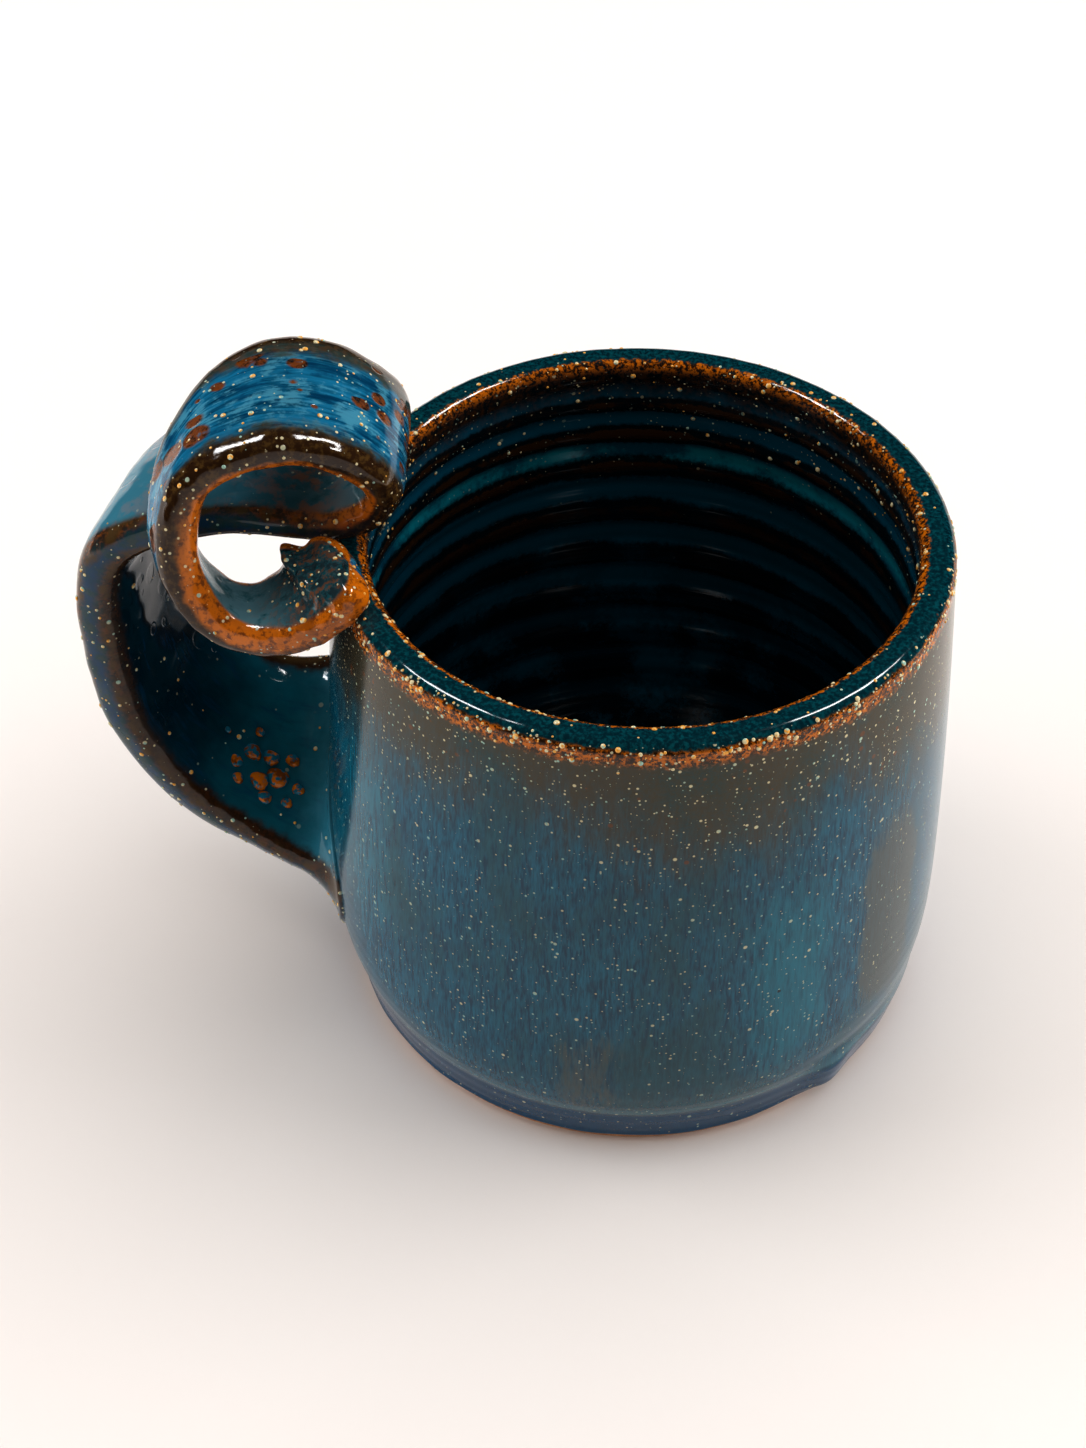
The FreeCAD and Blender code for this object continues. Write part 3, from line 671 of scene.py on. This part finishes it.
def strap_glaze(colours, knots):
    """Blue on the broad faces, brown and amber where the glaze breaks over the edges."""
    t = Tree("strap_glaze")
    along, across, face, edge = [t.attribute(name) for name in ("along", "across", "face", "edge")]
    on_curl, on_tail = t.attribute("curl"), t.attribute("tail")
    flow = t.add("ShaderNodeCombineXYZ", {}, {0: along * 0.10, 1: across * 5.0, 2: face * 2.0})
    streaks = t.noise(flow, scale=1.0, detail=5.0, rough=0.62, distort=0.7)
    drawn = t.add("ShaderNodeCombineXYZ", {}, {0: along * 0.30, 1: across * 24.0, 2: face * 4.0})
    threads = t.noise(drawn, detail=3.0)
    big = t.noise(t.mm, scale=0.10, detail=3.0)
    mid = t.noise(t.mm, scale=0.35, detail=4.0, rough=0.6)
    grain = t.noise(t.mm, scale=2.0, detail=3.0, rough=0.7)
    blotch = t.noise(t.mm, scale=0.9, detail=4.0, rough=0.65)
    outer = face.ramp(-0.25, 0.35)
    # outer face of the curl: bright blue with rust spots and olive margins
    sky = t.mix((streaks * 0.7 + threads * 0.3).ramp(0.34, 0.62), colours.blue, colours.sky)
    sky = t.mix((mid + (threads - 0.5) * 0.5 + (big - 0.5) * 0.4).ramp(0.48, 0.66) * 0.8, sky, colours.pale_and_sheen)
    sky = t.mix((streaks + (mid - 0.5) * 0.6).ramp(0.46, 0.36) * 0.55, sky, colours.deep)
    margin = (across - 0.10) * 1.10
    margin = (margin * margin + (mid - 0.5) * 0.6 + (streaks - 0.5) * 0.6).ramp(0.30, 0.62)
    sky = t.mix(margin * 0.85, sky, t.mix(blotch.ramp(0.42, 0.6), colours.olive, colours.olive_brown))
    spots, _ = t.specks(t.vector("MULTIPLY", t.mm, (1.0, 1.25, 1.0)), 4.2, 2.5, 0.95)
    spotted = (spots * 1.8 * (0.75 + (mid - 0.5) * 1.4 + (blotch - 0.5) * 1.8)).least(1.0).most(0.0)
    spotted = spotted * across.band(-0.72, 0.1, 0.62, 0.1)
    sky = t.mix(spotted * 0.95, sky, t.mix(blotch.ramp(0.45, 0.62), colours.rust, colours.burnt))
    # inner face of the curl: blue-grey glaze, brightened with a painted reflection
    curl_inner_and_reflection = t.mix((mid + (streaks - 0.5) * 0.3).ramp(0.25, 0.50), colours.lip_light, colours.blue_grey_sheen)
    curl_inner_and_reflection = t.mix(on_tail * 0.85, curl_inner_and_reflection, t.mix(blotch.ramp(0.40, 0.60), colours.ink, colours.lip_light))
    # ear: navy towards its hollow with a teal run low down and a painted highlight near its root, mottled
    # rust and slate outside with a painted reflection on the shoulder
    low = (along + (big - 0.5) * 34.0 + (streaks - 0.5) * 12.0)
    inner_ear = t.mix(low.ramp(40.0, 4.0), colours.night, colours.teal)
    inner_ear = t.mix((streaks * 0.7 + threads * 0.3).ramp(0.50, 0.66) * 0.5, inner_ear, colours.deep)
    # painted highlight: palest blue on the hollow face near the ear's root
    inner_ear = t.mix((along + (mid - 0.5) * 8.0).ramp(16.0, 2.0) * 0.6, inner_ear, colours.pale_and_sheen)
    outer_ear = t.mix((mid + (big - 0.5) * 0.6).ramp(0.46, 0.62), colours.slate, colours.rust)
    # painted reflection: pale blue haze on the ear's outer shoulder
    shoulder_reflection = along.band(float(knots[SHOULDER]) - 4.0, 8.0, float(knots[CROSSING]), 6.0)
    outer_ear = t.mix(shoulder_reflection * 0.6, outer_ear, colours.pale_and_sheen)
    ear = t.mix(outer, outer_ear, inner_ear)
    base = t.mix(on_curl, ear, t.mix(outer, curl_inner_and_reflection, sky))
    # edges
    mottle = t.mix((blotch + (grain - 0.5) * 0.4).ramp(0.44, 0.60), colours.burnt, colours.rust)
    slate = t.mix(mid.ramp(0.4, 0.6), colours.deep, colours.slate)
    centre = (1.0 - abs(face + 0.05) + (mid - 0.5) * 1.1 + (big - 0.5) * 0.8).ramp(0.40, 0.80)
    inner_dark = (face + (mid - 0.5) * 0.8).ramp(0.30, 0.75)
    ear_edge = t.mix(centre * 0.9, t.mix(mid.ramp(0.38, 0.60), colours.olive_brown, mottle), slate)
    ear_edge = t.mix(inner_dark * 0.85, ear_edge, colours.burnt)
    gold = t.mix((blotch + (grain - 0.5) * 0.2).ramp(0.36, 0.54), colours.rust, colours.amber)
    bright = (face + (mid - 0.5) * 0.5).ramp(-0.10, -0.35)
    dark_edge = t.mix(blotch.ramp(0.46, 0.66), colours.burnt, colours.olive_brown)
    curl_edge = t.mix(bright, dark_edge, gold)
    lower = on_curl * along.ramp(float(knots[CURL_BEND]), float(knots[CURL_UNDER]))
    curl_edge = t.mix(lower * (face + (mid - 0.5) * 0.6).ramp(0.35, -0.05), curl_edge, gold)
    edging = t.mix(on_curl, ear_edge, curl_edge)
    edging = t.mix(on_tail * (blotch + 0.42).least(1.0), edging, gold)
    rounding = (edge + (mid - 0.5) * (outer * 0.18 + 0.12) + on_curl * outer * 0.12).ramp(0.26, 0.44)
    base = t.mix(rounding * 0.97, base, edging)
    ridge = on_tail * face.ramp(0.2, -0.4) * (blotch + (mid - 0.5) * 0.6).ramp(0.50, 0.60)
    base = t.mix(ridge * 0.7, base, mottle)
    # specks
    crowd = rounding * 0.45 + (outer * on_curl) * 0.30 + 0.10
    small, tone = t.specks(t.mm, 0.95, 0.26, crowd)
    large, _ = t.specks(t.vector("ADD", t.mm, (31.0, 17.0, 5.0)), 2.2, 0.42, crowd * 0.9)
    marks = small.most(large)
    base = t.mix(marks * (0.35 + (rounding + on_curl * outer).least(1.0) * 0.5), base,
                 t.mix(tone.ramp(0.5, 0.9), colours.cream, colours.mint))
    height_mm = marks * 0.9 + threads * 0.12 * on_curl * outer + grain * 0.05 \
        + mid * rounding * 0.8 - spotted * 0.9
    rough = 0.06 + marks * 0.12 + grain * 0.05
    return t.finish(base, rough, height_mm, 0.06, IOR=1.5)


class MUG_OT_strap(bpy.types.Operator):
    """Builds the pulled strap: ear, crossing, curl and pressed end as one closed skin"""
    bl_idname, bl_label = "mug.strap", "Strap handle"

    def execute(self, context):
        colours, _, _ = settings()
        mesh, knots = strap_mesh()
        piece("strap_handle", mesh, strap_glaze(colours, knots), "blue_glaze", "strap_ear", "strap_curl",
              "strap_tail", "ear_glaze", "curl_glaze", "tail_glaze")
        return {"FINISHED"}


# --- Bare clay, beads and raised specks -------------------------------------------------------------
LIP_SPECKS, STRAP_SPECKS = 1.0e6, 0.8e6    # raised specks on a square metre where crowd is 1


def bare_clay(colours):
    t = Tree("bare_stoneware")
    grog = t.noise(t.mm, scale=1.6, detail=5.0, rough=0.7)
    lines = t.noise(t.stretched(30, 30, 0.25), detail=2.0)
    base = t.mix(grog.ramp(0.35, 0.7), colours.clay, colours.clay_light)
    specks, _ = t.specks(t.mm, 1.4, 0.25, 0.25)
    base = t.mix(specks * 0.7, base, colours.rust)
    return t.finish(base, 0.62 + grog * 0.25, grog * 0.7 + lines * 0.5, 0.12)


def bead_mesh():
    """Squashed drops that lean into one another on the strap's hollow face."""
    at = np.array([bead[0] for bead in BEADS])
    middle, along, across, up, half_w, half_t = strap_frame(at)
    points, faces = [], []
    rings, around = 9, 16
    for i, (_, place, radius) in enumerate(BEADS):
        centre = middle[i] + across[i] * half_w[i] * place + up[i] * (half_t[i] - BEAD_SUNK)
        start = len(points)
        for ring in range(1, rings):
            tilt = math.pi * ring / rings
            for step in range(around):
                turn = 2 * math.pi * step / around
                sag = 1.0 + 0.25 * math.cos(turn + i)
                x, y, z = math.sin(tilt) * math.cos(turn), math.sin(tilt) * math.sin(turn), math.cos(tilt)
                shape = across[i] * x * sag + along[i] * y * 1.15 + up[i] * z * 0.85
                points.append(centre + radius * shape)
        points += [centre + up[i] * radius * 0.85, centre - up[i] * radius * 0.85]
        top, bottom = len(points) - 2, len(points) - 1
        for step in range(around):
            ahead = (step + 1) % around
            faces.append((top, start + step, start + ahead))
            last = start + (rings - 2) * around
            faces.append((last + step, bottom, last + ahead))
            for ring in range(rings - 2):
                a, b = start + ring * around, start + (ring + 1) * around
                faces.append((a + step, b + step, b + ahead, a + ahead))
    mesh = bpy.data.meshes.new("glaze_drops")
    mesh.from_pydata((np.array(points) * MM).tolist(), [], faces)
    flip = bmesh.new()
    flip.from_mesh(mesh)
    bmesh.ops.recalc_face_normals(flip, faces=flip.faces)
    flip.to_mesh(mesh)
    flip.free()
    mesh.shade_smooth()
    return mesh


def bead_glaze(colours):
    t = Tree("bead_glaze")
    cloud = t.noise(t.mm, scale=0.55, detail=3.0)
    swirl = t.noise(t.vector("ADD", t.mm, (7.0, 3.0, 1.0)), scale=0.9, detail=3.0)
    base = t.mix(cloud.ramp(0.42, 0.55), colours.rust, colours.amber)
    base = t.mix(swirl.ramp(0.46, 0.56), base, colours.blue_light)
    return t.finish(base, 0.07 + cloud * 0.05, cloud, 0.05, **{"Specular IOR Level": 0.5})


def speck_glaze(colours):
    t = Tree("raised_specks")
    tone = t.noise(t.mm, scale=1.4, detail=1.0)
    other = t.noise(t.vector("ADD", t.mm, (5.0, 8.0, 2.0)), scale=1.1, detail=1.0)
    base = t.mix(tone.ramp(0.44, 0.54), colours.gold, colours.cream)
    base = t.mix(other.ramp(0.58, 0.64), base, colours.mint)
    return t.finish(base, 0.16 + tone * 0.1, tone, 0.02, **{"Specular IOR Level": 0.5})


def speck_tree(material):
    """Scatters small squashed drops over a skin, crowded where its attribute says."""
    tree = bpy.data.node_groups.new("raised_specks", "GeometryNodeTree")
    face = tree.interface
    face.new_socket("Skin", in_out="INPUT", socket_type="NodeSocketGeometry")
    for name, default in (("Density", LIP_SPECKS), ("Smallest", 0.13 * MM), ("Largest", 0.44 * MM),
                          ("Flatness", 0.55)):
        face.new_socket(name, in_out="INPUT", socket_type="NodeSocketFloat").default_value = default
    face.new_socket("Seed", in_out="INPUT", socket_type="NodeSocketInt").default_value = 1
    face.new_socket("Specks", in_out="OUTPUT", socket_type="NodeSocketGeometry")

    def add(kind, sets, links):
        node = tree.nodes.new(kind)
        for key, value in sets.items():
            setattr(node, key, value)
        for key, value in links.items():
            if isinstance(value, bpy.types.NodeSocket):
                tree.links.new(value, node.inputs[key])
            else:
                node.inputs[key].default_value = value
        return node

    given = add("NodeGroupInput", {}, {}).outputs
    named = add("GeometryNodeInputNamedAttribute", {"data_type": "FLOAT"}, {"Name": "crowd"})
    crowd = named.outputs["Attribute"]
    dense = add("ShaderNodeMath", {"operation": "MULTIPLY"}, {0: crowd, 1: given["Density"]}).outputs[0]
    spots = add("GeometryNodeDistributePointsOnFaces", {"distribute_method": "RANDOM"},
                {"Mesh": given["Skin"], "Density": dense, "Seed": given["Seed"]}).outputs
    drop = add("GeometryNodeMeshIcoSphere", {}, {"Radius": 1.0, "Subdivisions": 2}).outputs["Mesh"]
    chance = add("FunctionNodeRandomValue", {"data_type": "FLOAT"}, {"Seed": given["Seed"]}).outputs[1]
    rare = add("ShaderNodeMath", {"operation": "POWER"}, {0: chance, 1: 2.2}).outputs[0]
    size = add("ShaderNodeMapRange", {}, {"Value": rare, "To Min": given["Smallest"],
                                          "To Max": given["Largest"]}).outputs[0]
    flat = add("ShaderNodeMath", {"operation": "MULTIPLY"}, {0: size, 1: given["Flatness"]}).outputs[0]
    scale = add("ShaderNodeCombineXYZ", {}, {0: size, 1: size, 2: flat}).outputs[0]
    placed = {"Points": spots["Points"], "Instance": drop, "Rotation": spots["Rotation"], "Scale": scale}
    drops = add("GeometryNodeInstanceOnPoints", {}, placed).outputs[0]
    real = add("GeometryNodeRealizeInstances", {}, {"Geometry": drops}).outputs[0]
    smooth = add("GeometryNodeSetShadeSmooth", {}, {"Geometry": real}).outputs[0]
    coated = add("GeometryNodeSetMaterial", {}, {"Geometry": smooth, "Material": material}).outputs[0]
    add("NodeGroupOutput", {}, {"Specks": coated})
    return tree


def scatter(name, skin, tree, seed, density):
    """Specks on one skin as a plain mesh of their own."""
    carrier = bpy.data.objects.new(name, skin.data.copy())
    bpy.context.scene.collection.objects.link(carrier)
    modifier = carrier.modifiers.new("specks", "NODES")
    modifier.node_group = tree
    sockets = {item.name: item.identifier for item in tree.interface.items_tree}
    modifier[sockets["Seed"]] = seed
    modifier[sockets["Density"]] = density
    graph = bpy.context.evaluated_depsgraph_get()
    mesh = bpy.data.meshes.new_from_object(carrier.evaluated_get(graph))
    carrier.modifiers.remove(modifier)
    bpy.data.objects.remove(carrier)
    if len(mesh.polygons) == 0:
        raise RuntimeError("no specks on " + name)
    for key in [layer.name for layer in mesh.attributes if layer.name in ("crowd", "down", "along")]:
        mesh.attributes.remove(mesh.attributes[key])
    thing = bpy.data.objects.new(name, mesh)
    bpy.context.scene.collection.objects.link(thing)
    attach(thing, "root")


class MUG_OT_small(bpy.types.Operator):
    """Finishes the bare foot ring and the beads of glaze on the ear"""
    bl_idname, bl_label = "mug.small", "Foot and beads"

    def execute(self, context):
        colours, _, _ = settings()
        ring = frame["nodes"]["foot_ring"]
        ring.data.materials.clear()
        ring.data.materials.append(bare_clay(colours))
        piece("glaze_drops", bead_mesh(), bead_glaze(colours), "amber_glaze", "glaze_beads")
        return {"FINISHED"}


class MUG_OT_specks(bpy.types.Operator):
    """Scatters the raised specks over the lip and along the strap's edges"""
    bl_idname, bl_label = "mug.specks", "Raised specks"

    def execute(self, context):
        colours, shape, _ = settings()
        tree = speck_tree(speck_glaze(colours))
        things = context.scene.objects
        scatter("lip_specks", things["mug_body"], tree, shape.seed, LIP_SPECKS)
        scatter("strap_specks", things["strap_handle"], tree, shape.seed + 1, STRAP_SPECKS)
        return {"FINISHED"}


# --- Studio -------------------------------------------------------------------------------------------
CAMERA_AT = Vector((0.0, -264.45, 304.95)) * MM
CAMERA_DOWN, CAMERA_TURN = math.radians(44.478), math.radians(-2.991)
LENS, SENSOR, NEAREST = 62.15, 36.0, 0.01
FLOOR_HALF = 3.0
AIM = (0.0, 0.0, 0.04)
GAMMA = 0.8    # deepens the darks
AIR = (1.0, 0.86, 0.76, 1.0)
LIGHTS = (  # name, place, width and height, setting for its power, kind of ray it is hidden from, tint
    ("right_window", (0.46, 0.26, 0.90), (0.16, 0.34), "key", "diffuse", (1.0, 0.985, 0.97)),
    ("left_window", (-0.46, 0.12, 0.88), (0.14, 0.32), "fill", "diffuse", (0.97, 0.985, 1.0)),
    ("sky_panel", (0.25, 0.35, 1.75), (2.8, 2.6), "top", "glossy", (0.96, 0.99, 1.0)),
    ("left_wall", (-1.2, 0.1, 0.28), (1.0, 0.6), "side", "glossy", (0.95, 0.98, 1.0)),
    ("right_wall", (1.2, 0.2, 0.28), (1.0, 0.6), "side", "glossy", (1.0, 0.99, 0.98)))


def soft_light(name, at, size, power, without, tint):
    """Rectangular light; without names the kind of ray, diffuse or glossy, that it is hidden from."""
    lamp = bpy.data.lights.new(name, "AREA")
    lamp.shape, lamp.size, lamp.size_y = "RECTANGLE", size[0], size[1]
    lamp.energy, lamp.color = power, tint
    thing = bpy.data.objects.new(name, lamp)
    thing.location = at
    thing.rotation_euler = (Vector(AIM) - Vector(at)).to_track_quat("-Z", "Y").to_euler()
    thing.visible_camera = False
    setattr(thing, "visible_" + without, False)
    bpy.context.scene.collection.objects.link(thing)


class MUG_OT_stage(bpy.types.Operator):
    """Builds the pale floor, the soft lights and the camera"""
    bl_idname, bl_label = "mug.stage", "Stage"

    def execute(self, context):
        _, _, studio = settings()
        mesh = bpy.data.meshes.new("floor")
        corners = [(x * FLOOR_HALF, y * FLOOR_HALF, 0) for x, y in ((-1, -1), (1, -1), (1, 1), (-1, 1))]
        mesh.from_pydata(corners, [], [(0, 1, 2, 3)])
        floor = bpy.data.objects.new("floor", mesh)
        context.scene.collection.objects.link(floor)
        t = Tree("pale_paper")
        tint = t.noise(t.mm, scale=0.004, detail=2.0)
        paper = t.mix(tint, (0.875, 0.835, 0.815), (0.90, 0.865, 0.85))
        floor.data.materials.append(t.finish(paper, 0.9, None, 0.0, **{"Specular IOR Level": 0.1}))
        for name, at, size, setting, without, tint in LIGHTS:
            soft_light(name, at, size, getattr(studio, setting), without, tint)
        world = bpy.data.worlds.new("studio_air")
        world.use_nodes = True
        air = world.node_tree.nodes["Background"].inputs
        air["Color"].default_value, air["Strength"].default_value = AIR, studio.ambient
        context.scene.world = world
        world.cycles_visibility.glossy = False
        context.scene.view_settings.view_transform = "Standard"
        context.scene.view_settings.gamma = GAMMA
        camera = bpy.data.cameras.new("camera")
        camera.lens, camera.sensor_width, camera.clip_start = LENS, SENSOR, NEAREST
        holder = bpy.data.objects.new("camera", camera)
        level = math.cos(CAMERA_DOWN)
        look = Vector((math.sin(CAMERA_TURN) * level, math.cos(CAMERA_TURN) * level, -math.sin(CAMERA_DOWN)))
        holder.location = CAMERA_AT
        holder.rotation_euler = look.to_track_quat("-Z", "Y").to_euler()
        context.scene.collection.objects.link(holder)
        context.scene.camera = holder
        return {"FINISHED"}


class MUG_PT_panel(bpy.types.Panel):
    """Lists the mug's builders in the sidebar"""
    bl_idname, bl_label = "MUG_PT_panel", "Curled Mug"
    bl_space_type, bl_region_type, bl_category = "VIEW_3D", "UI", "Mug"

    def draw(self, context):
        for builder in BUILDERS:
            self.layout.operator(builder.bl_idname)
        for group in settings():
            for key in group.bl_rna.properties.keys():
                if key not in ("rna_type", "name"):
                    self.layout.prop(group, key)


BUILDERS = (MUG_OT_body, MUG_OT_strap, MUG_OT_small, MUG_OT_specks, MUG_OT_stage)
GROUPS = {"mug_glaze": MugGlazeSettings, "mug_shape": MugShapeSettings, "mug_studio": MugStudioSettings}


def register():
    for cls in (*GROUPS.values(), *BUILDERS, MUG_PT_panel):
        bpy.utils.register_class(cls)
    for key, group in GROUPS.items():
        setattr(bpy.types.Scene, key, PointerProperty(type=group))


def unregister():
    for key in GROUPS:
        delattr(bpy.types.Scene, key)
    for cls in reversed((*GROUPS.values(), *BUILDERS, MUG_PT_panel)):
        bpy.utils.unregister_class(cls)


def main():
    register()
    bpy.ops.mug.body()
    bpy.ops.mug.strap()
    bpy.ops.mug.small()
    bpy.ops.mug.specks()
    bpy.ops.mug.stage()


if __name__ == "__main__":
    main()
